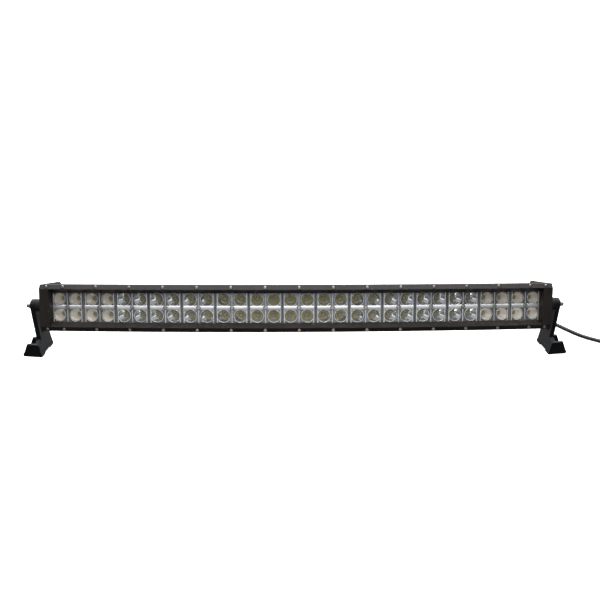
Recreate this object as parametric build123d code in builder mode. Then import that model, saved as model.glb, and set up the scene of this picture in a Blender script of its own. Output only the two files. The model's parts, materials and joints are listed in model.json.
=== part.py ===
from build123d import *
import os
from math import cos, degrees, pi, radians, sin, sqrt, tan

os.makedirs("parts", exist_ok=True)

# Curved double-row LED light bar on two swivel feet, millimetres, +Z up.
# The face looks towards -Y and up by `tilt`; the feet stand flat on Z = 0.

# ---- light engine ----
led_pitch = 25.4                      # spacing of the LED columns
led_columns = 30
row_spacing = 24.6                    # spacing of the two LED rows
module_pitch = 2 * led_pitch          # one reflector serves two columns and both rows
module_count = led_columns // 2
flood_modules = 2                     # wide-beam modules at each end
board_modules = 3                     # modules carried by one LED board

# ---- body of the bar ----
face_radius = 3000.0                  # arc on which the reflector rims stand
half_face = 392.0                     # arc length from the middle to the end of the bezel
end_strip_width = 15.0                # bezel end piece
half_height = 35.5
half_housing = 386.0                  # arc length from the middle to the housing's end
end_gasket = 1.0
end_cap_thickness = 6.5
tilt = 23.5                           # degrees that the face looks up
pivot_height = 82.0                   # pivot above the floor
pivot_depth = -18.7                   # pivot behind the reflector rims
base_shift = -28.22                   # puts the middle of the base box on Y = 0

# ---- section of the bar: d is forward of the reflector rims, z is up the face ----
bezel_back = 12.0
bezel_outer_edge = 13.0
bezel_ridge = (16.6, 28.8)
bezel_lip = (4.7, 22.4)
seat_height = 27.8                    # bezel step that fits the housing mouth
mouth_height = 27.9
chamber_height = 25.0
wall_height = 28.6
lens_back = 2.2
lens_thickness = 2.4
lens_height = 27.4
ledge = 0.6                           # ledge that carries the lens gasket
web_front, web_back = -17.6, -20.6    # plate that carries the LED boards
plate_front, plate_back = -33.6, -36.6
fin_tip = -52.7
fin_count = 7
fin_pitch = 8.6
fin_thickness = 2.2
lip_depth = -1.0                      # back of the full-height front flange

# ---- reflector and LED ----
module_gap = 2.0
module_height = 49.2
cup_depth = 14.2
cup_throat = 3.3
spot_rim = 9.2
flood_rim = 8.8
cup_wall = 1.0
boss_radius = 3.5
boss_seat = 3.7
board_thickness = 1.6

# ---- screws ----
small_screw = 1.45                    # M3 shank radius
small_hole = 1.5
bezel_screw_height = 32.1
bezel_screw_head = 2.4
pocket_floor = 13.6
end_screw_place = 381.6
cap_screw_radius = 1.95
cap_screw_places = ((5.5, 31.7), (5.5, -31.7), (-27.1, 21.5), (-27.1, -21.5))

# ---- swivel bracket, offsets measured outwards from the end cap ----
running_gap = 0.3
bush_length = 20.2
bush_radii = (12.5, 9.6)
arm_thickness = 7.5
arm_top = 10.0
washer_stack = (("flat", 6.0, 1.2), ("spring", 4.6, 1.4), ("flat", 5.5, 1.2))
bolt_radius = 2.5
bolt_clearance = 2.56
bolt_head = (4.25, 5.2)
bolt_depth = 5.0                      # bolt thread inside the end cap
foot_width = 30.6
foot_toe, foot_heel = -27.0, 15.0
foot_thickness = 5.0
foot_hole = 4.3                       # clearance for an M8 bolt
foot_hole_inset = 11.2                # from the foot's outer edge
foot_hole_y = -15.0
foot_relief = 5.0                     # step under the foot's inner edge
gusset_thickness = 4.0
gusset_height = 23.0
gusset_inset = 9.7                    # slope of the gussets' outer edge
second_gusset = -7.0
gusset_inner = 4.0                    # from the foot's inner edge
gusset_edge = 2.5                     # upright edge at the gusset's foot

# ---- cable ----
cable_diameter = 6.5
cable_radius = cable_diameter / 2
gland_place = (345.0, -10.0)          # arc length and height of the gland on the back
coil_centre = (568.0, 31.5)
coil_radius = 34.0                    # middle of the coil's turns
coil_entry = -120.0                   # angle at which the cable joins the coil


# ---- frame of the bar ----
up = Vector(0, sin(radians(tilt)), cos(radians(tilt)))
back = Vector(0, cos(radians(tilt)), -sin(radians(tilt)))
right = Vector(1, 0, 0)


def forward_at(s):
    """Direction that the face looks in at arc length s."""
    return right * sin(s / face_radius) - back * cos(s / face_radius)


def tangent_at(s):
    """Direction along the bar, towards +X, at arc length s."""
    return right * cos(s / face_radius) + back * sin(s / face_radius)


half_cap = half_housing + end_gasket
pivot_offset = face_radius * back + forward_at(half_cap) * (face_radius + pivot_depth)
apex = Vector(0, base_shift, pivot_height - pivot_offset.Z)
arc_centre = apex + back * face_radius
arc_axis = Axis(arc_centre, up)


def place(s, d, z):
    """Point at arc length s, d in front of the reflector rims and z up the face."""
    return arc_centre + forward_at(s) * (face_radius + d) + up * z


def section_plane(s):
    """Cross-section of the bar: x is forward, y is up the face."""
    return Plane(origin=place(s, 0, 0), x_dir=forward_at(s), z_dir=-tangent_at(s))


def face_plane(s, d=0.0, z=0.0):
    """Plane that faces forward: x is along the bar, y is up the face."""
    return Plane(origin=place(s, d, z), x_dir=tangent_at(s), z_dir=forward_at(s))


def end_plane(offset=0.0):
    """Plane across the bar's right end at the pivot: x is back, y is up the face."""
    outwards = tangent_at(half_cap)
    origin = place(half_cap, pivot_depth, 0) + outwards * offset
    return Plane(origin=origin, x_dir=-forward_at(half_cap), z_dir=outwards)


def arc_angle(length):
    return degrees(length / face_radius)


module_places = [(i - (module_count - 1) / 2) * module_pitch for i in range(module_count)]


# ---- housing: finned curved extrusion with a light chamber and a driver chamber ----
port_radius = 3.6
fin_places = [(i - (fin_count - 1) / 2) * fin_pitch for i in range(fin_count)]
s_gland, z_gland = gland_place
with BuildPart() as housing:
    with BuildSketch(section_plane(-half_housing)):
        with BuildLine():
            Polyline(
                (bezel_back, half_height), (lip_depth, half_height), (lip_depth - 4, wall_height),
                (plate_back, wall_height), (plate_back, -wall_height),
                (lip_depth - 4, -wall_height), (lip_depth, -half_height),
                (bezel_back, -half_height), close=True,
            )
        make_face()
        fin_length = plate_back - fin_tip
        with Locations(*[((plate_back + fin_tip) / 2, z) for z in fin_places]):
            Rectangle(fin_length, fin_thickness)
        with Locations((bezel_back, 0)):
            Rectangle(2 * (bezel_back - ledge), 2 * mouth_height, mode=Mode.SUBTRACT)
        with Locations(((ledge + web_front) / 2, 0)):
            Rectangle(ledge - web_front, 2 * chamber_height, mode=Mode.SUBTRACT)
        with Locations(((web_back + plate_front) / 2, 0)):
            Rectangle(web_back - plate_front, 2 * chamber_height, mode=Mode.SUBTRACT)
        with Locations(*cap_screw_places[2:]):
            Rectangle(2 * port_radius, 2 * port_radius)
    revolve(axis=arc_axis, revolution_arc=arc_angle(2 * half_housing))
    # threaded holes for the reflector, bezel and end cap screws, and the gland
    for s in module_places:
        with BuildSketch(face_plane(s, web_front)):
            Circle(small_hole)
        extrude(amount=-2.4, mode=Mode.SUBTRACT)
    for s in module_places + [-end_screw_place, end_screw_place]:
        with BuildSketch(face_plane(s, bezel_back)):
            with Locations((0, bezel_screw_height), (0, -bezel_screw_height)):
                Circle(small_hole)
        extrude(amount=-12.5, mode=Mode.SUBTRACT)
    for side in (-1, 1):
        with BuildSketch(section_plane(side * half_housing)):
            with Locations(*cap_screw_places):
                Circle(cap_screw_radius + 0.05)
        extrude(amount=2.8 * side, mode=Mode.SUBTRACT)
    with BuildSketch(face_plane(s_gland, plate_back, z_gland)):
        Rectangle(26, 25.4)
    extrude(amount=-30, mode=Mode.SUBTRACT)
    with BuildSketch(face_plane(s_gland, plate_front, z_gland)):
        Circle(5.1)
    extrude(amount=-4, mode=Mode.SUBTRACT)
housing.part.label = "housing"
export_step(housing.part, "parts/housing.step")


# ---- bezel: two long strips and two end pieces, screwed to the housing's flange ----
half_strip = half_face - end_strip_width
strip_outline = (
    (bezel_back, half_height), (bezel_outer_edge, half_height), bezel_ridge,
    bezel_lip, (bezel_lip[0], seat_height), (bezel_back, seat_height),
)
for hand, flip in (("top", 1), ("bottom", -1)):
    with BuildPart() as bezel_strip:
        with BuildSketch(section_plane(-half_strip)):
            with BuildLine():
                Polyline(*[(d, z * flip) for d, z in strip_outline], close=True)
            make_face()
        revolve(axis=arc_axis, revolution_arc=arc_angle(2 * half_strip))
        for s in module_places:
            with BuildSketch(face_plane(s, pocket_floor, bezel_screw_height * flip)):
                Circle(bezel_screw_head + 0.4)
            extrude(amount=6, mode=Mode.SUBTRACT)
            with BuildSketch(face_plane(s, bezel_back - 1, bezel_screw_height * flip)):
                Circle(small_hole)
            extrude(amount=8, mode=Mode.SUBTRACT)
    bezel_strip.part.label = f"bezel_{hand}"
    export_step(bezel_strip.part, f"parts/bezel_{hand}.step")

with BuildPart() as bezel_end_right:
    with BuildSketch(section_plane(half_strip)):
        with BuildLine():
            Polyline(
                (bezel_back, half_height), (bezel_outer_edge, half_height), bezel_ridge,
                (bezel_ridge[0], -bezel_ridge[1]), (bezel_outer_edge, -half_height),
                (bezel_back, -half_height), close=True,
            )
        make_face()
    revolve(axis=arc_axis, revolution_arc=arc_angle(end_strip_width))
    with BuildSketch(section_plane(half_strip)):
        with Locations(((bezel_back + bezel_lip[0]) / 2, 0)):
            Rectangle(bezel_back - bezel_lip[0], 2 * seat_height)
    revolve(axis=arc_axis, revolution_arc=arc_angle(half_housing - half_strip - 0.5))
    with BuildSketch(face_plane(end_screw_place, pocket_floor)):
        with Locations((0, bezel_screw_height), (0, -bezel_screw_height)):
            Circle(bezel_screw_head + 0.4)
    extrude(amount=6, mode=Mode.SUBTRACT)
    with BuildSketch(face_plane(end_screw_place, bezel_back - 1)):
        with Locations((0, bezel_screw_height), (0, -bezel_screw_height)):
            Circle(small_hole)
    extrude(amount=8, mode=Mode.SUBTRACT)
bezel_end_right.part.label = "bezel_end_right"
export_step(bezel_end_right.part, "parts/bezel_end_right.step")

with BuildPart() as bezel_end_left:
    mirror(bezel_end_right.part, about=Plane.YZ)
bezel_end_left.part.label = "bezel_end_left"
export_step(bezel_end_left.part, "parts/bezel_end_left.step")


# ---- lens and its gasket, clamped by the bezel ----
half_lens = 381.0
with BuildPart() as front_lens:
    with BuildSketch(section_plane(-half_lens)):
        with Locations((lens_back + lens_thickness / 2, 0)):
            Rectangle(lens_thickness, 2 * lens_height)
    revolve(axis=arc_axis, revolution_arc=arc_angle(2 * half_lens))
front_lens.part.label = "front_lens"
export_step(front_lens.part, "parts/front_lens.step")

gasket_width = 2.3
with BuildPart() as lens_gasket:
    with BuildSketch(section_plane(-half_lens)):
        with Locations(((lens_back + ledge) / 2, 0)):
            Rectangle(lens_back - ledge, 2 * lens_height)
    revolve(axis=arc_axis, revolution_arc=arc_angle(2 * half_lens))
    with BuildSketch(section_plane(-half_lens + gasket_width)):
        with Locations(((lens_back + ledge) / 2, 0)):
            Rectangle(lens_back, 2 * (lens_height - gasket_width))
    revolve(
        axis=arc_axis, revolution_arc=arc_angle(2 * (half_lens - gasket_width)),
        mode=Mode.SUBTRACT,
    )
lens_gasket.part.label = "lens_gasket"
export_step(lens_gasket.part, "parts/lens_gasket.step")


# ---- reflectors: a moulded tray with four cups, each on its own screw ----
module_width = module_pitch - module_gap
cup_places = [(x, y) for x in (-led_pitch / 2, led_pitch / 2) for y in (-row_spacing / 2, row_spacing / 2)]
tray_face = 1.8
skirt_depth = 6.0
skirt_wall = 1.2
middle_ridge = (3.6, 1.3)             # half width and height of the ridge between the rows
side_ridge = (0.8, 0.6)
ridge_inset = 1.4                     # ridges stop short of the tray's edge
side_ridge_place = module_width / 2 - ridge_inset - side_ridge[0]
corner_radius = 1.5
rim_bead = (0.55, 0.45)               # bead round each rim: distance outside it, and radius
rim_clearance = 2.0                   # how far the cutting shapes reach past the face


def cup_radius(throat, rim, depth):
    """Paraboloid from the throat at the bottom to the rim at depth 0."""
    return sqrt(throat**2 + (rim**2 - throat**2) * (1 - depth / cup_depth))


def cup_profile(throat, rim):
    """Half section of a cup about the local Y axis, open to the front."""
    middle = cup_depth / 2
    with BuildSketch(Plane.XZ) as profile:
        with BuildLine():
            Polyline((rim, 0), (0, 0), (0, -cup_depth), (throat, -cup_depth))
            ThreePointArc((throat, -cup_depth), (cup_radius(throat, rim, middle), -middle), (rim, 0))
        make_face()
    return profile.sketch


def ridge_section(half_width, height):
    """Segment of a circle, standing on the tray's face."""
    radius = (half_width**2 + height**2) / (2 * height)
    with BuildSketch() as section:
        with Locations((0, height - radius)):
            Circle(radius)
        with Locations((0, height / 2)):
            Rectangle(2 * half_width, height, mode=Mode.INTERSECT)
    return section.sketch


def reflector_tray(rim):
    """One reflector, centred on its own face, looking towards +Z."""
    with BuildPart() as tray:
        with BuildSketch():
            RectangleRounded(module_width, module_height, corner_radius)
        extrude(amount=-skirt_depth)
        with BuildSketch(Plane.XY.offset(-tray_face)):
            RectangleRounded(module_width - 2 * skirt_wall, module_height - 2 * skirt_wall, skirt_wall)
        extrude(amount=-skirt_depth, mode=Mode.SUBTRACT)
        for plane, places, section, length in (
            (Plane.YZ, ((0, 0),), ridge_section(*middle_ridge), module_width - 2 * ridge_inset),
            (Plane.XZ, ((-side_ridge_place, 0), (0, 0), (side_ridge_place, 0)),
             ridge_section(*side_ridge), module_height - 2 * corner_radius),
        ):
            with BuildSketch(plane):
                with Locations(*places):
                    add(section)
            extrude(amount=length / 2, both=True)
        with Locations(*cup_places):
            Torus(rim + rim_bead[0], rim_bead[1])
        for x, y in cup_places:
            with BuildPart(mode=Mode.PRIVATE) as cup_shell:
                add(cup_profile(cup_throat + cup_wall, rim + cup_wall))
                revolve(axis=Axis.Z)
            with BuildPart(mode=Mode.PRIVATE) as cup_hollow:
                add(cup_profile(cup_throat, rim))
                revolve(axis=Axis.Z)
                with BuildSketch():
                    Circle(rim)
                extrude(amount=rim_clearance)
            with Locations((x, y)):
                add(cup_shell.part)
                add(cup_hollow.part, mode=Mode.SUBTRACT)
        with BuildSketch(Plane.XY.offset(-cup_depth)):
            Circle(boss_radius)
        extrude(amount=cup_depth)
        # level seat for the screw, cut into the ridge, and the screw's hole
        with BuildSketch():
            Circle(boss_seat)
        extrude(amount=rim_clearance, mode=Mode.SUBTRACT)
        with BuildSketch():
            Circle(small_hole)
        extrude(amount=-cup_depth - rim_clearance, mode=Mode.SUBTRACT)
    return tray.part


spot_tray = reflector_tray(spot_rim)
flood_tray = reflector_tray(flood_rim)
for number, s in enumerate(module_places, start=1):
    flood = number <= flood_modules or number > module_count - flood_modules
    with BuildPart() as reflector:
        with Locations(face_plane(s)):
            add(flood_tray if flood else spot_tray)
    reflector.part.label = f"reflector_{number:02d}"
    export_step(reflector.part, f"parts/reflector_{number:02d}.step")

with BuildPart() as reflector_screw:
    with BuildSketch():
        Circle(2.8)
    extrude(amount=1.8)
    fillet(faces().sort_by(Axis.Z)[-1].edges(), 0.9)
    with BuildSketch():
        Circle(small_screw)
    extrude(amount=web_front - 2)
    with BuildSketch(Plane.XY.offset(1.8)):
        Rectangle(2.6, 0.6)
        Rectangle(0.6, 2.6)
    extrude(amount=-0.8, mode=Mode.SUBTRACT)

with BuildPart() as reflector_screws:
    with Locations(*[face_plane(s) for s in module_places]):
        add(reflector_screw.part)
reflector_screws.part.label = "reflector_screws"
export_step(reflector_screws.part, "parts/reflector_screws.step")


# ---- LED boards and LEDs, in five strips of three modules ----
board_half = board_modules * module_pitch / 2 - 0.5
led_seat = web_front + board_thickness + 0.15
with BuildPart() as led_shape:
    with BuildSketch():
        Circle(3.0)
    extrude(amount=1.0)
    with BuildSketch(Plane.XY.offset(1.0)):
        Circle(2.5)
    extrude(amount=1.4)
    fillet(faces().sort_by(Axis.Z)[-1].edges(), 1.3)

board_count = module_count // board_modules
for strip in range(board_count):
    middle_place = module_places[strip * board_modules + board_modules // 2]
    modules = module_places[strip * board_modules:(strip + 1) * board_modules]
    with BuildPart() as led_board:
        with BuildSketch(section_plane(middle_place - board_half)):
            with Locations((web_front + board_thickness / 2, 0)):
                Rectangle(board_thickness, 44)
        revolve(axis=arc_axis, revolution_arc=arc_angle(2 * board_half))
        for s in modules:
            with BuildSketch(face_plane(s, web_front - 1)):
                Circle(small_hole + 0.2)
            extrude(amount=4, mode=Mode.SUBTRACT)
    led_board.part.label = f"led_board_{strip + 1}"
    export_step(led_board.part, f"parts/led_board_{strip + 1}.step")

    with BuildPart() as leds:
        for s in modules:
            with Locations(face_plane(s, led_seat)):
                with Locations(*cup_places):
                    add(led_shape.part)
    leds.part.label = f"leds_{strip + 1}"
    export_step(leds.part, f"parts/leds_{strip + 1}.step")


# ---- bezel screws: button heads in their pockets, with a cross recess ----
with BuildPart() as bezel_screw:
    with BuildSketch():
        Circle(bezel_screw_head)
    extrude(amount=1.7)
    fillet(faces().sort_by(Axis.Z)[-1].edges(), 0.8)
    with BuildSketch():
        Circle(small_screw)
    extrude(amount=-13.8)
    with BuildSketch(Plane.XY.offset(1.7)):
        Rectangle(2.4, 0.6)
        Rectangle(0.6, 2.4)
    extrude(amount=-0.8, mode=Mode.SUBTRACT)

for hand, flip in (("top", 1), ("bottom", -1)):
    with BuildPart() as bezel_screws:
        with Locations(*[face_plane(s, pocket_floor, bezel_screw_height * flip) for s in module_places]):
            add(bezel_screw.part)
    bezel_screws.part.label = f"bezel_screws_{hand}"
    export_step(bezel_screws.part, f"parts/bezel_screws_{hand}.step")

with BuildPart() as bezel_end_screws:
    for s in (-end_screw_place, end_screw_place):
        for z in (-bezel_screw_height, bezel_screw_height):
            with Locations(face_plane(s, pocket_floor, z)):
                add(bezel_screw.part)
bezel_end_screws.part.label = "bezel_end_screws"
export_step(bezel_end_screws.part, "parts/bezel_end_screws.step")


# ---- end caps with gasket and screws ----
cap_chamfer = 10.0
cap_rear = fin_tip
cap_front = bezel_back - 0.05
plate_shift = (cap_front + cap_rear) / 2
with BuildPart() as end_cap_right:
    with BuildSketch(section_plane(half_cap)) as cap_outline:
        with Locations((plate_shift, 0)):
            Rectangle(cap_front - cap_rear, 2 * half_height)
        chamfer(vertices().group_by(Axis(place(half_cap, 0, 0), forward_at(half_cap)))[0], cap_chamfer)
    extrude(amount=-end_cap_thickness)
    outer_face = faces().sort_by(Axis(place(half_cap, 0, 0), tangent_at(half_cap)))[-1]
    fillet(outer_face.edges(), 1.0)
    with BuildSketch(section_plane(half_cap)):
        with Locations(*cap_screw_places):
            Circle(cap_screw_radius + 0.05)
    extrude(amount=-end_cap_thickness, mode=Mode.SUBTRACT)
    with BuildSketch(end_plane(end_cap_thickness)):
        Circle(bolt_clearance)
    extrude(amount=-bolt_depth - 0.5, mode=Mode.SUBTRACT)
end_cap_right.part.label = "end_cap_right"
export_step(end_cap_right.part, "parts/end_cap_right.step")

with BuildPart() as end_cap_gasket_right:
    with BuildSketch(section_plane(half_housing)):
        with Locations(((bezel_back + plate_back) / 2, 0)):
            Rectangle(bezel_back - plate_back, 2 * wall_height)
        with Locations(((lip_depth + bezel_back) / 2, 0)):
            Rectangle(bezel_back - lip_depth, 2 * half_height)
        with Locations((bezel_back, 0)):
            Rectangle(2 * (bezel_back - ledge), 2 * mouth_height, mode=Mode.SUBTRACT)
        with Locations(((ledge + plate_front) / 2, 0)):
            Rectangle(ledge - plate_front, 2 * chamber_height, mode=Mode.SUBTRACT)
        with Locations(*cap_screw_places[2:]):
            Rectangle(2 * port_radius, 2 * port_radius)
        with Locations(*cap_screw_places):
            Circle(cap_screw_radius + 0.05, mode=Mode.SUBTRACT)
    extrude(amount=-(end_gasket - 0.04))
end_cap_gasket_right.part.label = "end_cap_gasket_right"
export_step(end_cap_gasket_right.part, "parts/end_cap_gasket_right.step")

with BuildPart() as end_cap_screws_right:
    cap_face = section_plane(half_cap).offset(-end_cap_thickness)
    with BuildSketch(cap_face):
        with Locations(*cap_screw_places):
            Circle(3.4)
    extrude(amount=-2.0)
    heads = faces().group_by(Axis(place(half_cap, 0, 0), tangent_at(half_cap)))[-1]
    fillet(heads.edges(), 0.9)
    with BuildSketch(cap_face):
        with Locations(*cap_screw_places):
            Circle(cap_screw_radius)
    extrude(amount=end_cap_thickness + end_gasket + 2.2)
    with BuildSketch(cap_face.offset(-2.0)):
        with Locations(*cap_screw_places):
            RegularPolygon(1.5, 6)
    extrude(amount=1.2, mode=Mode.SUBTRACT)
end_cap_screws_right.part.label = "end_cap_screws_right"
export_step(end_cap_screws_right.part, "parts/end_cap_screws_right.step")


# ---- pivot: tapered bush, arm, washers and socket bolt on one axis ----
bush_face = end_cap_thickness
arm_face = bush_face + bush_length + running_gap
washer_face = arm_face + arm_thickness + running_gap
with BuildPart() as pivot_bush_right:
    with BuildSketch(end_plane(bush_face)):
        Circle(bush_radii[0])
    with BuildSketch(end_plane(bush_face + bush_length)):
        Circle(bush_radii[1])
    loft()
    with BuildSketch(end_plane(bush_face - 1)):
        Circle(bolt_clearance)
    extrude(amount=bush_length + 2, mode=Mode.SUBTRACT)
pivot_bush_right.part.label = "pivot_bush_right"
export_step(pivot_bush_right.part, "parts/pivot_bush_right.step")

with BuildPart() as pivot_washers_right:
    washer_base = washer_face
    for kind, radius, thickness in washer_stack:
        with BuildSketch(end_plane(washer_base)):
            Circle(radius)
            Circle(bolt_clearance, mode=Mode.SUBTRACT)
            if kind == "spring":
                with Locations((radius, 0)):
                    Rectangle(2 * radius, 0.5, rotation=20, mode=Mode.SUBTRACT)
        extrude(amount=thickness)
        washer_base += thickness
pivot_washers_right.part.label = "pivot_washers_right"
export_step(pivot_washers_right.part, "parts/pivot_washers_right.step")

head_face = washer_face + sum(thickness for kind, radius, thickness in washer_stack)
with BuildPart() as pivot_bolt_right:
    with BuildSketch(end_plane(head_face)):
        Circle(bolt_head[0])
    extrude(amount=bolt_head[1])
    head_top = faces().sort_by(Axis(place(half_cap, 0, 0), tangent_at(half_cap)))[-1]
    chamfer(head_top.edges(), 0.5)
    with BuildSketch(end_plane(bush_face - bolt_depth)):
        Circle(bolt_radius)
    extrude(amount=head_face - bush_face + bolt_depth)
    with BuildSketch(end_plane(head_face + bolt_head[1])):
        RegularPolygon(2.3, 6)
    extrude(amount=-2.8, mode=Mode.SUBTRACT)
pivot_bolt_right.part.label = "pivot_bolt_right"
export_step(pivot_bolt_right.part, "parts/pivot_bolt_right.step")


# ---- bracket: arm across the pivot axis, foot plate flat on the floor ----
pivot = end_plane()
axis_out = pivot.z_dir
level_out = Vector(axis_out.X, axis_out.Y, 0).normalized()
level_back = Vector(-level_out.Y, level_out.X, 0)
axis_drop = -axis_out.Z                                   # sine of the axis's slope
foot_origin = Vector(pivot.origin.X, pivot.origin.Y, 0)
foot_inner = arm_face * sqrt(1 - axis_drop**2) - pivot_height * axis_drop
foot_outer = foot_inner + foot_width


def arm_plane(offset):
    """Plane of the arm: x is level and back, y is up in the arm."""
    return Plane(origin=pivot.origin + axis_out * offset, x_dir=level_back, z_dir=axis_out)


def foot_plane(height):
    """Level plane above the foot: x is outwards, y is back."""
    return Plane(origin=foot_origin + Vector(0, 0, height), x_dir=level_out, z_dir=(0, 0, 1))


def gusset_plane(y):
    """Upright plane across the foot: x is outwards, y is up."""
    return Plane(origin=foot_origin + level_back * y, x_dir=level_out, z_dir=-level_back)


floor = -pivot_height
with BuildPart() as bracket_right:
    with BuildSketch(arm_plane(arm_face)):
        Circle(arm_top)
        with Locations((-14.5, floor + 28), (12.2, floor + 27)):
            Circle(1.5)
        make_hull()
        with BuildLine():
            Polyline(
                (-16, floor + 28), (foot_toe, floor + gusset_height), (foot_toe, floor - 6),
                (foot_heel, floor - 6), (foot_heel, floor + 4), (13.7, floor + 27), close=True,
            )
        make_face()
    extrude(amount=arm_thickness)
    # long relief on the inner face, between two edge ribs
    with BuildSketch(arm_plane(arm_face)):
        with BuildLine():
            Polyline((-6, -15), (6, -15), (8.5, -46), (-9.5, -46), close=True)
        make_face()
        fillet(vertices(), 2.5)
    extrude(amount=2.5, mode=Mode.SUBTRACT)
    with BuildSketch(foot_plane(0)):
        with Locations(((foot_inner + foot_outer) / 2, (foot_toe + foot_heel) / 2)):
            Rectangle(foot_width, foot_heel - foot_toe)
    extrude(amount=foot_thickness)
    for y in (foot_toe, second_gusset):
        with BuildSketch(gusset_plane(y)):
            with BuildLine():
                Polyline(
                    (foot_inner + gusset_inner, 0), (foot_outer, 0), (foot_outer, gusset_edge),
                    (foot_outer - gusset_inset, gusset_height), (foot_inner + gusset_inner, gusset_height),
                    close=True,
                )
            make_face()
        extrude(amount=-gusset_thickness)
    # relief under the inner edge, between toe and heel
    with BuildSketch(gusset_plane(foot_toe + 12)):
        with BuildLine():
            Polyline(
                (foot_inner - foot_relief, -foot_relief), (foot_inner + foot_relief, -foot_relief),
                (foot_inner + foot_relief, foot_thickness / 2), (foot_inner - foot_relief, foot_thickness / 2),
                close=True,
            )
        make_face()
    extrude(amount=-18, mode=Mode.SUBTRACT)
    with BuildSketch(foot_plane(-1)):
        with Locations((foot_outer - foot_hole_inset, foot_hole_y)):
            Circle(foot_hole)
    extrude(amount=foot_thickness + 2, mode=Mode.SUBTRACT)
    with BuildSketch(end_plane(arm_face - 1)):
        Circle(bolt_clearance)
    extrude(amount=arm_thickness + 2, mode=Mode.SUBTRACT)
    split(bisect_by=Plane.XY, keep=Keep.TOP)
bracket_right.part.label = "bracket_right"
export_step(bracket_right.part, "parts/bracket_right.step")

mirrored = {
    "end_cap_left": end_cap_right, "end_cap_gasket_left": end_cap_gasket_right,
    "end_cap_screws_left": end_cap_screws_right, "pivot_bush_left": pivot_bush_right,
    "pivot_washers_left": pivot_washers_right, "pivot_bolt_left": pivot_bolt_right,
    "bracket_left": bracket_right,
}
for name, right_piece in mirrored.items():
    with BuildPart() as left_piece:
        mirror(right_piece.part, about=Plane.YZ)
    left_piece.part.label = name
    export_step(left_piece.part, f"parts/{name}.step")


# ---- driver in the rear chamber ----
driver_seat = -22.4
with BuildPart() as driver_board:
    with BuildSketch(face_plane(0, driver_seat)):
        RectangleRounded(120, 34, 2)
    extrude(amount=-1.6)
driver_board.part.label = "driver_board"
export_step(driver_board.part, "parts/driver_board.step")

driver_face = driver_seat - 1.6
with BuildPart() as driver_inductors:
    with BuildSketch(face_plane(0, driver_face)):
        with GridLocations(28, 0, 4, 1):
            Circle(6)
            Circle(2.4, mode=Mode.SUBTRACT)
    extrude(amount=-6.5)
driver_inductors.part.label = "driver_inductors"
export_step(driver_inductors.part, "parts/driver_inductors.step")

with BuildPart() as driver_capacitors:
    with BuildSketch(face_plane(0, driver_face)):
        with GridLocations(28, 22, 3, 2):
            Circle(3.1)
    extrude(amount=-8)
driver_capacitors.part.label = "driver_capacitors"
export_step(driver_capacitors.part, "parts/driver_capacitors.step")


# ---- cable gland on the back, near the right end ----
gland_flange = 8.0
gland_nut_length = 10.0
boot_length = 20.0
with BuildPart() as gland_body:
    with BuildSketch(face_plane(s_gland, plate_back, z_gland)):
        RegularPolygon(8.6, 6)
    extrude(amount=-gland_flange)
    with BuildSketch(face_plane(s_gland, plate_back, z_gland)):
        Circle(5)
    extrude(amount=5)
    with BuildSketch(face_plane(s_gland, plate_back + 6, z_gland)):
        Circle(cable_radius)
    extrude(amount=-gland_flange - 7, mode=Mode.SUBTRACT)
gland_body.part.label = "gland_body"
export_step(gland_body.part, "parts/gland_body.step")

nut_base = plate_back - gland_flange
with BuildPart() as gland_nut:
    with BuildSketch(face_plane(s_gland, nut_base, z_gland)):
        RegularPolygon(8.2, 6)
    with BuildSketch(face_plane(s_gland, nut_base - gland_nut_length, z_gland)):
        RegularPolygon(6.6, 6)
    loft()
    with BuildSketch(face_plane(s_gland, nut_base + 1, z_gland)):
        Circle(cable_radius + 1)
    extrude(amount=-gland_nut_length - 2, mode=Mode.SUBTRACT)
gland_nut.part.label = "gland_nut"
export_step(gland_nut.part, "parts/gland_nut.step")

boot_base = nut_base - gland_nut_length
with BuildPart() as cable_boot:
    with BuildSketch(face_plane(s_gland, boot_base, z_gland)):
        Circle(5.4)
    with BuildSketch(face_plane(s_gland, boot_base - boot_length, z_gland)):
        Circle(4.1)
    loft()
cable_boot.part.label = "cable_boot"
export_step(cable_boot.part, "parts/cable_boot.step")


# ---- cable: from the boot to the floor, round the right foot and into its coil ----
exit_point = place(s_gland, boot_base - boot_length, z_gland)
exit_way = -forward_at(s_gland)
lying = cable_radius
coil_x, coil_y = coil_centre
outer_turn = coil_radius + cable_radius
inner_turn = coil_radius - cable_radius
entry_reach = 24.0                    # straight stretch that runs onto the coil
entry_way = Vector(-sin(radians(coil_entry)), cos(radians(coil_entry)), 0)
coil_start = Vector(
    coil_x + outer_turn * cos(radians(coil_entry)), coil_y + outer_turn * sin(radians(coil_entry)), lying
)
cable_end = coil_start - entry_way * entry_reach
cable_route = [
    exit_point, exit_point + exit_way * 20,
    (333.5, 90, 28.5), (339, 107, 14), (352, 121, 6.2), (373, 129, lying), (398, 127, lying),
    (420, 115, lying), (437, 97, lying), (452, 79.5, lying), (467, 59.5, lying),
    (484, 38.2, lying), cable_end - entry_way * 24.5, cable_end,
]


def route_radii(points):
    """Arc radius at each inner corner: 0.45 of the shorter run over tan of half the turn."""
    corners = []
    for before, here, after in zip(points, points[1:], points[2:]):
        run_in, run_out = Vector(here) - Vector(before), Vector(after) - Vector(here)
        turn = radians(run_in.get_angle(run_out))
        corners.append(0.45 * min(run_in.length, run_out.length) / tan(turn / 2))
    return corners


cable_radii = route_radii(cable_route)
with BuildPart() as cable:
    with BuildLine() as cable_path:
        FilletPolyline(*cable_route, radius=cable_radii)
    with BuildSketch(Plane(origin=exit_point, z_dir=exit_way)):
        Circle(cable_radius)
    sweep(path=cable_path.wires()[0])
cable.part.label = "cable"
export_step(cable.part, "parts/cable.step")

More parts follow.
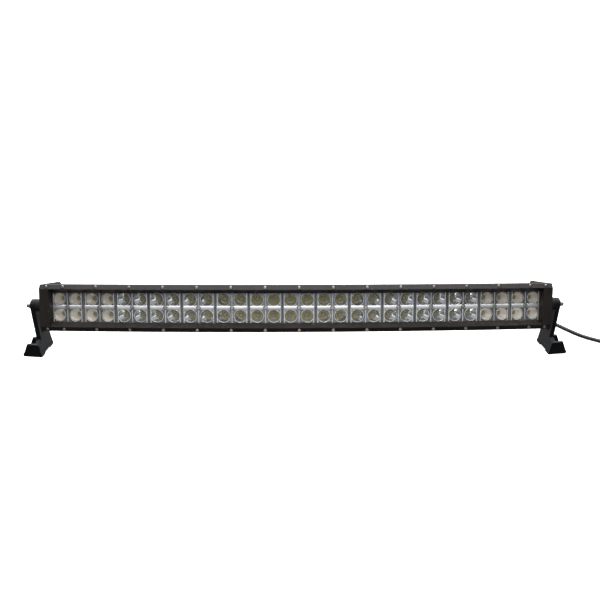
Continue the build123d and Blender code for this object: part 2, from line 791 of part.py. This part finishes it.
# coil: two turns side by side, a part turn on top in the groove, then the tail to the connector
top_turn = lying + sqrt(cable_diameter**2 - cable_radius**2)
tail_length = 46.0
connector_height = 7.0
with BuildPart() as cable_coil:
    with BuildSketch(Plane((coil_x, coil_y, 0))):
        Circle(outer_turn + cable_radius)
        Circle(inner_turn - cable_radius, mode=Mode.SUBTRACT)
    extrude(amount=cable_diameter)
    with BuildSketch(Plane((coil_x, coil_y, 0))):
        Circle(coil_radius + cable_radius)
        Circle(coil_radius - cable_radius, mode=Mode.SUBTRACT)
    extrude(amount=top_turn + cable_radius)
    with BuildSketch(Plane(origin=cable_end, x_dir=(0, 0, 1), z_dir=entry_way)):
        Rectangle(cable_diameter, cable_diameter)
    extrude(amount=entry_reach)
    with BuildSketch(Plane(origin=(coil_x + coil_radius, coil_y, top_turn), z_dir=(0, 1, 0))):
        Rectangle(cable_diameter, cable_diameter)
    tail_end = (coil_x + coil_radius, coil_y + tail_length, connector_height)
    with BuildSketch(Plane(origin=tail_end, z_dir=(0, 1, 0))):
        Rectangle(cable_diameter, cable_diameter)
    loft()
cable_coil.part.label = "cable_coil"
export_step(cable_coil.part, "parts/cable_coil.step")



def connector_plane(reach):
    """Section across the connector, `reach` from its back."""
    origin = (coil_x + coil_radius, coil_y + tail_length + reach, connector_height)
    return Plane(origin=origin, x_dir=(1, 0, 0), z_dir=(0, 1, 0))


with BuildPart() as connector:
    with BuildSketch(connector_plane(0)):
        RectangleRounded(17, 14, 3)
    extrude(amount=20)
    with BuildSketch(connector_plane(20)):
        RectangleRounded(14, 11, 2.5)
    extrude(amount=14)
    # seal rings round the nose and a latch on top
    for reach in (24, 27):
        with BuildSketch(connector_plane(reach)):
            RectangleRounded(15.4, 12.4, 3)
        extrude(amount=1.2)
    latch_top = Plane((coil_x + coil_radius, coil_y + tail_length + 9, 2 * connector_height))
    with BuildSketch(latch_top):
        Rectangle(7, 14)
    extrude(amount=1.6)
connector.part.label = "connector"
export_step(connector.part, "parts/connector.step")
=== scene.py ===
import json
import math
import bpy
import numpy as np
from mathutils import Matrix, Vector


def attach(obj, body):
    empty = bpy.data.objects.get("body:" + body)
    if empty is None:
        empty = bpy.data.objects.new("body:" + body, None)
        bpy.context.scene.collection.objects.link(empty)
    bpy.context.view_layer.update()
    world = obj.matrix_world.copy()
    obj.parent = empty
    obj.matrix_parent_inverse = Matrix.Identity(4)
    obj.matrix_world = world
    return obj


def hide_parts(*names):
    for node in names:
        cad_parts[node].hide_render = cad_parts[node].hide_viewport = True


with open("model.json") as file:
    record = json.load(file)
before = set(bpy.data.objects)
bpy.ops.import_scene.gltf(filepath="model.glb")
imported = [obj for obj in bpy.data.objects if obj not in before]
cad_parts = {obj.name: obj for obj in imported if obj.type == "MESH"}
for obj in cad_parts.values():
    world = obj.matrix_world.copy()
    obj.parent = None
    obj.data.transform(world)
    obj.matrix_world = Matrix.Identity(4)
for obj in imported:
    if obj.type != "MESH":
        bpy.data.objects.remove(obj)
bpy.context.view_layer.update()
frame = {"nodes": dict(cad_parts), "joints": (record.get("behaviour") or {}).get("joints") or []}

scene = bpy.context.scene
nodes = frame["nodes"]
joints = {joint["name"]: joint for joint in frame["joints"]}

# the bar's own frame: an arc of reflector rims, leaning back by tilt
bar = {"faceRadius": 3.0, "tilt": math.radians(23.5), "endLength": 0.387, "pivotDepth": -0.0187}
barUp = np.array([0, math.sin(bar["tilt"]), math.cos(bar["tilt"])])
barBack = np.array([0, math.cos(bar["tilt"]), -math.sin(bar["tilt"])])
barRight = np.array([1.0, 0, 0])


def forwardAt(s):
    # direction that the face looks in at arc length s
    turn = s / bar["faceRadius"]
    return barRight * math.sin(turn) - barBack * math.cos(turn)


def tangentAt(s):
    # direction along the bar at arc length s
    turn = s / bar["faceRadius"]
    return barRight * math.cos(turn) + barBack * math.sin(turn)


pivot = np.array(joints["right_bracket_pivot"]["pos_m"])
arcCentre = pivot - forwardAt(bar["endLength"]) * (bar["faceRadius"] + bar["pivotDepth"])


def place(s, d, z):
    # point at arc length s, d in front of the reflector rims, z up the face
    return arcCentre + forwardAt(s) * (bar["faceRadius"] + d) + barUp * z


# ---- camera ----
view = {"place": (-0.0237, -0.8534, 0.5789), "look": (0.0290, 0.8704, -0.4915), "roll": 0.0133,
        "lens": 37.74, "sensor": 36.0, "shift": -0.0028}


def makeCamera():
    camera = bpy.data.cameras.new("camera")
    camera.lens, camera.sensor_width, camera.shift_x = view["lens"], view["sensor"], view["shift"]
    camera.clip_start, camera.clip_end = 0.01, 50
    holder = bpy.data.objects.new("camera", camera)
    look = Vector(view["look"]).normalized()
    turn = look.to_track_quat("-Z", "Y").to_matrix().to_4x4()
    roll = Matrix.Rotation(view["roll"], 4, "Z")
    holder.matrix_world = Matrix.Translation(view["place"]) @ turn @ roll
    scene.collection.objects.link(holder)
    scene.camera = holder


makeCamera()
print("camera set")


# ---- node helpers ----
def newMaterial(name):
    material = bpy.data.materials.new(name)
    material.use_nodes = True
    tree = material.node_tree
    shader = tree.nodes["Principled BSDF"]
    return material, tree, shader


def setSockets(shader, **values):
    for name, value in values.items():
        shader.inputs[name.replace("_", " ")].default_value = value


def addNode(tree, kind, **settings):
    # settings name either a property of the node or one of its sockets
    node = tree.nodes.new(kind)
    for name, value in settings.items():
        if hasattr(node, name):
            setattr(node, name, value)
        else:
            node.inputs[name.replace("_", " ")].default_value = value
    return node


def objectPoint(tree):
    return addNode(tree, "ShaderNodeTexCoord").outputs["Object"]


def noiseAt(tree, point, scale, detail=2.0, roughness=0.5):
    noise = addNode(tree, "ShaderNodeTexNoise", Scale=scale, Detail=detail, Roughness=roughness)
    tree.links.new(point, noise.inputs["Vector"])
    return noise.outputs["Fac"]


def rampOf(tree, factor, stops):
    ramp = addNode(tree, "ShaderNodeValToRGB")
    while len(ramp.color_ramp.elements) < len(stops):
        ramp.color_ramp.elements.new(0.5)
    for element, (position, color) in zip(ramp.color_ramp.elements, stops):
        element.position = position
        element.color = (*color, 1) if len(color) == 3 else color
    tree.links.new(factor, ramp.inputs["Fac"])
    return ramp.outputs["Color"]


def rangeOf(tree, factor, low, high, toLow, toHigh):
    node = addNode(tree, "ShaderNodeMapRange")
    for socket, value in zip(("From Min", "From Max", "To Min", "To Max"), (low, high, toLow, toHigh)):
        node.inputs[socket].default_value = value
    tree.links.new(factor, node.inputs["Value"])
    return node.outputs["Result"]


def mathOf(tree, operation, first, second=None):
    node = addNode(tree, "ShaderNodeMath", operation=operation)
    for socket, value in zip(node.inputs, (first, second)):
        if value is None:
            continue
        if isinstance(value, (int, float)):
            socket.default_value = value
        else:
            tree.links.new(value, socket)
    return node.outputs[0]


def mixColors(tree, factor, first, second):
    node = addNode(tree, "ShaderNodeMix", data_type="RGBA")
    colorSockets = [socket for socket in node.inputs if socket.type == "RGBA"]
    tree.links.new(factor, node.inputs["Factor"])
    for socket, value in zip(colorSockets, (first, second)):
        if isinstance(value, tuple):
            socket.default_value = (*value, 1)
        else:
            tree.links.new(value, socket)
    return [socket for socket in node.outputs if socket.type == "RGBA"][0]


def bumpOn(tree, shader, height, strength, distance):
    bump = addNode(tree, "ShaderNodeBump", Strength=strength, Distance=distance)
    tree.links.new(height, bump.inputs["Height"])
    tree.links.new(bump.outputs["Normal"], shader.inputs["Normal"])


def frontOfRims(tree):
    # turns object coordinates into the distance in front of the reflector rims
    shift = addNode(tree, "ShaderNodeVectorMath", operation="SUBTRACT")
    tree.links.new(objectPoint(tree), shift.inputs[0])
    shift.inputs[1].default_value = arcCentre
    depth = addNode(tree, "ShaderNodeVectorMath", operation="DOT_PRODUCT")
    tree.links.new(shift.outputs[0], depth.inputs[0])
    depth.inputs[1].default_value = barBack
    across = addNode(tree, "ShaderNodeSeparateXYZ")
    tree.links.new(shift.outputs[0], across.inputs[0])
    squares = mathOf(tree, "ADD", mathOf(tree, "POWER", depth.outputs["Value"], 2.0),
                     mathOf(tree, "POWER", across.outputs["X"], 2.0))
    return mathOf(tree, "SUBTRACT", mathOf(tree, "SQRT", squares), bar["faceRadius"])


# ---- materials ----
def makeBlackCoat(name, grain, base, specular):
    material, tree, shader = newMaterial(name)
    point = objectPoint(tree)
    peel = noiseAt(tree, point, 1400, 3)
    cloud = noiseAt(tree, point, 26, 3)
    dust = noiseAt(tree, point, 340, 2)
    light = tuple(channel * 1.7 for channel in base)
    tree.links.new(rampOf(tree, cloud, [(0.3, base), (0.75, light)]), shader.inputs["Base Color"])
    tree.links.new(rangeOf(tree, dust, 0.3, 0.7, 0.34, 0.5), shader.inputs["Roughness"])
    bumpOn(tree, shader, peel, 0.30 * grain, 0.00018)
    setSockets(shader, Specular_IOR_Level=specular)
    return material


def makeReflector(name, finish):
    # three zones by distance in front of the rims: cup behind, a flat face coloured near-black as
    # painted shade, and raised ridges coloured whiter and less metallic as a painted highlight
    material, tree, shader = newMaterial(name)
    point = objectPoint(tree)
    front = frontOfRims(tree)
    inCup = rangeOf(tree, front, -0.0005, -0.0011, 0, 1)
    raised = rangeOf(tree, front, 0.00016, 0.00030, 0, 1)
    haze = noiseAt(tree, point, 160, 3)
    # the face colour is painted shade: a near-black metal standing in for the dark reflection on the
    # chrome
    face = rampOf(tree, haze, [(0.3, tuple(c * 0.8 for c in finish["face"])), (0.7, finish["face"])])
    cup = rampOf(tree, haze, [(0.25, tuple(c * 0.88 for c in finish["cup"])), (0.75, finish["cup"])])
    # the ridge colour is a painted highlight: whiter than the chrome, so it shows bright under any
    # light
    level = mixColors(tree, raised, face, finish["ridge"])
    tree.links.new(mixColors(tree, inCup, level, cup), shader.inputs["Base Color"])
    # the lowered ridge metal lets the whiter ridge colour show as a painted highlight
    levels = (("Roughness", 0.24, 0.36), ("Metallic", 1.0, finish["ridgeMetal"]))
    for socket, faceValue, ridgeValue in levels:
        onLevel = rangeOf(tree, raised, 0, 1, faceValue, ridgeValue)
        drop = mathOf(tree, "SUBTRACT", finish["cup" + socket], onLevel)
        toCup = mathOf(tree, "MULTIPLY", drop, inCup)
        tree.links.new(mathOf(tree, "ADD", onLevel, toCup), shader.inputs[socket])
    grain = noiseAt(tree, point, finish["grainScale"], 2)
    bumpOn(tree, shader, grain, finish["grainStrength"], 0.0003)
    return material


def makeSteel(name, tint=(0.50, 0.465, 0.43), roughness=(0.2, 0.38)):
    material, tree, shader = newMaterial(name)
    point = objectPoint(tree)
    streak = noiseAt(tree, point, 900, 4)
    stain = noiseAt(tree, point, 120, 2)
    dull = tuple(c * 0.8 for c in tint)
    tree.links.new(rampOf(tree, stain, [(0.3, dull), (0.7, tint)]), shader.inputs["Base Color"])
    tree.links.new(rangeOf(tree, streak, 0.3, 0.7, *roughness), shader.inputs["Roughness"])
    bumpOn(tree, shader, streak, 0.08, 0.00008)
    setSockets(shader, Metallic=1.0)
    return material


def makeLens():
    material, tree, shader = newMaterial("clearLens")
    smear = noiseAt(tree, objectPoint(tree), 18, 3)
    tree.links.new(rangeOf(tree, smear, 0.3, 0.8, 0.03, 0.09), shader.inputs["Roughness"])
    setSockets(shader, Base_Color=(0.93, 0.95, 0.96, 1), Alpha=0.05, IOR=1.49)
    return material


def makeRubber(name, base, roughness, grainScale=900, grainStrength=0.16):
    material, tree, shader = newMaterial(name)
    point = objectPoint(tree)
    grain = noiseAt(tree, point, grainScale, 3)
    bloom = noiseAt(tree, point, 60, 3)
    light = tuple(c * 1.8 + 0.004 for c in base)
    tree.links.new(rampOf(tree, bloom, [(0.3, base), (0.8, light)]), shader.inputs["Base Color"])
    tree.links.new(rangeOf(tree, grain, 0.3, 0.7, *roughness), shader.inputs["Roughness"])
    bumpOn(tree, shader, grain, grainStrength, 0.0001)
    return material


def makeLedFace():
    # yellow phosphor near the middle of each LED; its foot, pale ceramic on the real LED, is coloured
    # near-black as painted shade down in the cup
    material, tree, shader = newMaterial("ledPhosphor")
    point = objectPoint(tree)
    front = frontOfRims(tree)
    top = rangeOf(tree, front, -0.0150, -0.0146, 0, 1)
    speck = noiseAt(tree, point, 2200, 2)
    phosphor = rampOf(tree, speck, [(0.3, (0.15, 0.12, 0.006)), (0.7, (0.32, 0.265, 0.015))])
    # below the top the LED is coloured near-black: painted shade where it sits deep in the cup
    tree.links.new(mixColors(tree, top, (0.05, 0.05, 0.03), phosphor), shader.inputs["Base Color"])
    setSockets(shader, Roughness=0.18)
    return material


def makePlain(name, base, roughness, metallic=0.0, scale=500):
    material, tree, shader = newMaterial(name)
    grain = noiseAt(tree, objectPoint(tree), scale, 3)
    dark = tuple(c * 0.82 for c in base)
    tree.links.new(rampOf(tree, grain, [(0.3, dark), (0.7, base)]), shader.inputs["Base Color"])
    tree.links.new(rangeOf(tree, grain, 0.3, 0.7, roughness * 0.85, roughness * 1.15),
                   shader.inputs["Roughness"])
    setSockets(shader, Metallic=metallic)
    return material


# the face colours are painted shade; the ridge colours, with their lowered ridge metal, are painted
# highlight
floodFinish = {"face": (0.11, 0.115, 0.125), "cup": (1.0, 0.95, 0.88), "ridge": (0.80, 0.80, 0.80),
               "cupRoughness": 0.28, "cupMetallic": 0.6, "ridgeMetal": 0.75,
               "grainScale": 900, "grainStrength": 0.45}
spotFinish = {"face": (0.13, 0.14, 0.16), "cup": (0.95, 0.96, 0.96), "ridge": (0.95, 0.95, 0.96),
              "cupRoughness": 0.05, "cupMetallic": 1.0, "ridgeMetal": 0.5,
              "grainScale": 240, "grainStrength": 0.03}
blackCoat = makeBlackCoat("blackCoat", 1.0, (0.0115, 0.0088, 0.0079), 0.26)
footCoat = makeBlackCoat("footCoat", 1.6, (0.0040, 0.0045, 0.0060), 0.20)
floodMetal = makeReflector("floodReflector", floodFinish)
spotMetal = makeReflector("spotReflector", spotFinish)
screwSteel = makeSteel("screwSteel")
boltSteel = makeSteel("boltSteel", (0.66, 0.62, 0.57), (0.24, 0.42))
clearLens = makeLens()
gasketRubber = makeRubber("gasketRubber", (0.010, 0.010, 0.010), (0.55, 0.75))
cableJacket = makeRubber("cableJacket", (0.006, 0.0055, 0.0055), (0.22, 0.34), 700, 0.10)
bootRubber = makeRubber("bootRubber", (0.012, 0.012, 0.012), (0.45, 0.62))
nylon = makeRubber("nylon", (0.014, 0.014, 0.015), (0.36, 0.5), 500, 0.12)
ledFace = makeLedFace()
boardWhite = makePlain("boardWhite", (0.34, 0.35, 0.33), 0.4)
circuitGreen = makePlain("circuitGreen", (0.02, 0.15, 0.06), 0.35)
ferrite = makePlain("ferrite", (0.05, 0.05, 0.055), 0.5)
canSleeve = makePlain("canSleeve", (0.10, 0.13, 0.30), 0.3, 0.2)


def dress(name, material):
    piece = nodes[name]
    piece.data.materials.clear()
    piece.data.materials.append(material)


floodModules = {1, 2, 14, 15}
for name in nodes:
    if name.startswith("reflector_") and name[-2:].isdigit():
        dress(name, floodMetal if int(name[-2:]) in floodModules else spotMetal)
    elif name.startswith("leds_"):
        dress(name, ledFace)
    elif name.startswith("led_board"):
        dress(name, boardWhite)
    elif name.startswith("pivot_bolt") or name.startswith("pivot_washers"):
        dress(name, boltSteel)
    elif "screws" in name:
        dress(name, screwSteel)
    elif "gasket" in name:
        dress(name, gasketRubber)
    elif name.startswith("bracket"):
        dress(name, footCoat)
    elif name.startswith("gland") or name == "connector":
        dress(name, nylon)
    elif name == "cable_boot":
        dress(name, bootRubber)
    elif name.startswith("cable"):
        dress(name, cableJacket)
    elif name == "front_lens":
        dress(name, clearLens)
    elif name == "driver_board":
        dress(name, circuitGreen)
    elif name == "driver_inductors":
        dress(name, ferrite)
    elif name == "driver_capacitors":
        dress(name, canSleeve)
    else:
        dress(name, blackCoat)
print("materials on the CAD nodes")


# ---- cable ----
cable = {
    "diameter": 0.0065, "length": 0.878,
    "exit": (0.345, -0.0746, -0.010),  # arc length, depth and height of the boot's mouth
    "firstRun": 0.020,
    "route": [(0.3335, 0.090, 0.0285), (0.339, 0.107, 0.014), (0.352, 0.121, 0.0062),
              (0.373, 0.129, 0.00325), (0.398, 0.127, 0.00325), (0.420, 0.115, 0.00325),
              (0.437, 0.097, 0.00325), (0.452, 0.0795, 0.00325), (0.467, 0.0595, 0.00325),
              (0.484, 0.0382, 0.00325)],
    "coilCentre": (0.568, 0.0315), "outerTurn": 0.0373, "innerTurn": 0.0307, "topTurn": 0.034,
    "entryAngle": -120, "entryReach": 0.024, "lastRun": 0.0245, "pointsPerTurn": 16,
    "stepIn": (250, 350), "climb": (550, 620), "stepOut": (590, 660),
    "endAngle": 720, "tail": 0.046, "tailDrop": ((0.016, 0.0096), (0.0345, 0.0074)),
    "connectorHeight": 0.007,
}


def smooth(values, start, end):
    # eases from 0 to 1 between start and end
    t = np.clip((values - start) / (end - start), 0, 1)
    return t * t * (3 - 2 * t)


def coilPoints():
    # the angle grows evenly; the radius steps inwards near the end of the first turn, and the
    # cord climbs on top near the end of the second, radius first level then raised
    step = 360 / cable["pointsPerTurn"]
    turned = np.arange(step / 2, cable["endAngle"] - cable["entryAngle"], step)
    inwards = cable["innerTurn"] - cable["outerTurn"]
    radius = cable["outerTurn"] + inwards * smooth(turned, *cable["stepIn"])
    radius += (cable["topTurn"] - cable["innerTurn"]) * smooth(turned, *cable["stepOut"])
    radius = radius / math.cos(math.radians(step / 2))
    lift = cable["diameter"] / 2 + cable["diameter"] * smooth(turned, *cable["climb"])
    angle = np.radians(turned + cable["entryAngle"])
    centreX, centreY = cable["coilCentre"]
    return np.stack([centreX + radius * np.cos(angle), centreY + radius * np.sin(angle), lift], 1)


def cableLine():
    s, d, z = cable["exit"]
    start = place(s, d, z)
    entry = math.radians(cable["entryAngle"])
    way = np.array([-math.sin(entry), math.cos(entry), 0])
    lying = cable["diameter"] / 2
    centre = np.array([*cable["coilCentre"], lying])
    onCoil = centre + cable["outerTurn"] * np.array([math.cos(entry), math.sin(entry), 0])
    arrive = onCoil - way * cable["entryReach"]
    endX = centre[0] + cable["topTurn"]
    tail = [(endX, centre[1] + along, height) for along, height in cable["tailDrop"]]
    tail.append((endX, centre[1] + cable["tail"], cable["connectorHeight"]))
    lead = [start, start - forwardAt(s) * cable["firstRun"], *cable["route"],
            arrive - way * cable["lastRun"], arrive]
    return np.vstack([lead, coilPoints(), tail])


def makeCable():
    points = cableLine()
    curve = bpy.data.curves.new("powerCable", "CURVE")
    curve.dimensions = "3D"
    curve.bevel_depth = cable["diameter"] / 2
    curve.bevel_resolution = 6
    curve.use_fill_caps = True
    spline = curve.splines.new("NURBS")
    spline.points.add(len(points) - 1)
    flat = np.hstack([points, np.ones((len(points), 1))]).ravel()
    spline.points.foreach_set("co", flat)
    spline.order_u = 3
    spline.use_endpoint_u = True
    spline.resolution_u = 8
    piece = bpy.data.objects.new("powerCable", curve)
    scene.collection.objects.link(piece)
    piece.data.materials.append(cableJacket)
    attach(piece, "bar")
    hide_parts("cable", "cable_coil")
    return piece


makeCable()
print("cable laid")


# ---- floor, lights and surroundings ----
studio = {"floorTint": (0.95, 0.95, 0.95), "radius": 4.5, "bend": 0.8, "rise": 3.2, "sides": 72,
          "glow": 0.8, "behind": (0.11, 0.115, 0.12), "above": (0.8, 0.8, 0.8)}
lights = {
    "overhead": {"place": (0.0, 0.05, 1.3), "aim": (0, 0, 0.05), "size": (2.4, 0.7), "power": 27},
    "overFront": {"place": (0.0, -0.9, 1.5), "aim": (0, 0, 0.05), "size": (1.2, 0.35), "power": 7},
    "backTop": {"place": (0.0, 1.15, 1.15), "aim": (0, 0, 0.05), "size": (3.0, 0.7), "power": 26},
    "behindCamera": {"place": (0.0, -3.2, 1.15), "aim": (0, 0, 0.05), "size": (2.6, 0.8), "power": 8},
}


def makeFloor():
    # round floor that curves up into a wall: the radius grows as the sine and the height as one
    # minus the cosine of the bend's angle, then the wall goes straight up
    bend, sides = studio["bend"], studio["sides"]
    quarter = np.linspace(0, np.pi / 2, 13)
    reach = np.append(studio["radius"] + bend * np.sin(quarter), studio["radius"] + bend)
    height = np.append(bend - bend * np.cos(quarter), studio["rise"])
    turn = np.arange(sides) * 2 * np.pi / sides
    corners = [(r * math.cos(t), r * math.sin(t), z) for r, z in zip(reach, height) for t in turn]
    faces = [tuple(range(sides))]
    for ring in range(len(reach) - 1):
        for i in range(sides):
            after = (i + 1) % sides
            low, high = ring * sides, (ring + 1) * sides
            faces.append((low + i, high + i, high + after, low + after))
    mesh = bpy.data.meshes.new("floor")
    mesh.from_pydata(corners, [], faces)
    floor = bpy.data.objects.new("floor", mesh)
    scene.collection.objects.link(floor)
    material, tree, shader = newMaterial("floorPaper")
    fleck = noiseAt(tree, objectPoint(tree), 3, 2)
    tint = studio["floorTint"]
    tree.links.new(rampOf(tree, fleck, [(0.3, tuple(c * 0.985 for c in tint)), (0.7, tint)]),
                   shader.inputs["Base Color"])
    setSockets(shader, Roughness=0.9, Specular_IOR_Level=0.1, Emission_Color=(1, 1, 1, 1),
               Emission_Strength=studio["glow"])
    mesh.materials.append(material)
    # the paper is seen by the camera only, so it throws no light on the underside
    floor.visible_glossy = floor.visible_diffuse = False


def makeLights():
    for name, setting in lights.items():
        lamp = bpy.data.lights.new(name, "AREA")
        lamp.shape = "RECTANGLE"
        lamp.size, lamp.size_y = setting["size"]
        lamp.energy = setting["power"]
        holder = bpy.data.objects.new(name, lamp)
        aim = Vector(setting["aim"]) - Vector(setting["place"])
        turn = aim.to_track_quat("-Z", "Y").to_matrix().to_4x4()
        holder.matrix_world = Matrix.Translation(setting["place"]) @ turn
        scene.collection.objects.link(holder)


def makeWorld():
    # dim room: brighter towards the back and overhead, dark behind the camera
    world = bpy.data.worlds.new("studio")
    scene.world = world
    world.use_nodes = True
    tree = world.node_tree
    tree.nodes.clear()
    way = addNode(tree, "ShaderNodeTexCoord").outputs["Generated"]
    parts = addNode(tree, "ShaderNodeSeparateXYZ")
    tree.links.new(way, parts.inputs[0])
    rise = rangeOf(tree, parts.outputs["Z"], 0.35, 0.95, 0, 1)
    away = rangeOf(tree, parts.outputs["Y"], 0.1, 0.6, 0, 1)
    openSky = mathOf(tree, "MAXIMUM", rise, away)
    glow = tree.nodes.new("ShaderNodeBackground")
    tree.links.new(mixColors(tree, openSky, studio["behind"], studio["above"]), glow.inputs["Color"])
    glow.inputs["Strength"].default_value = 1.0
    out = tree.nodes.new("ShaderNodeOutputWorld")
    tree.links.new(glow.outputs[0], out.inputs["Surface"])


makeFloor()
makeLights()
makeWorld()
scene.view_settings.view_transform = "Standard"
scene.view_settings.look = "None"
print("floor and lights set")
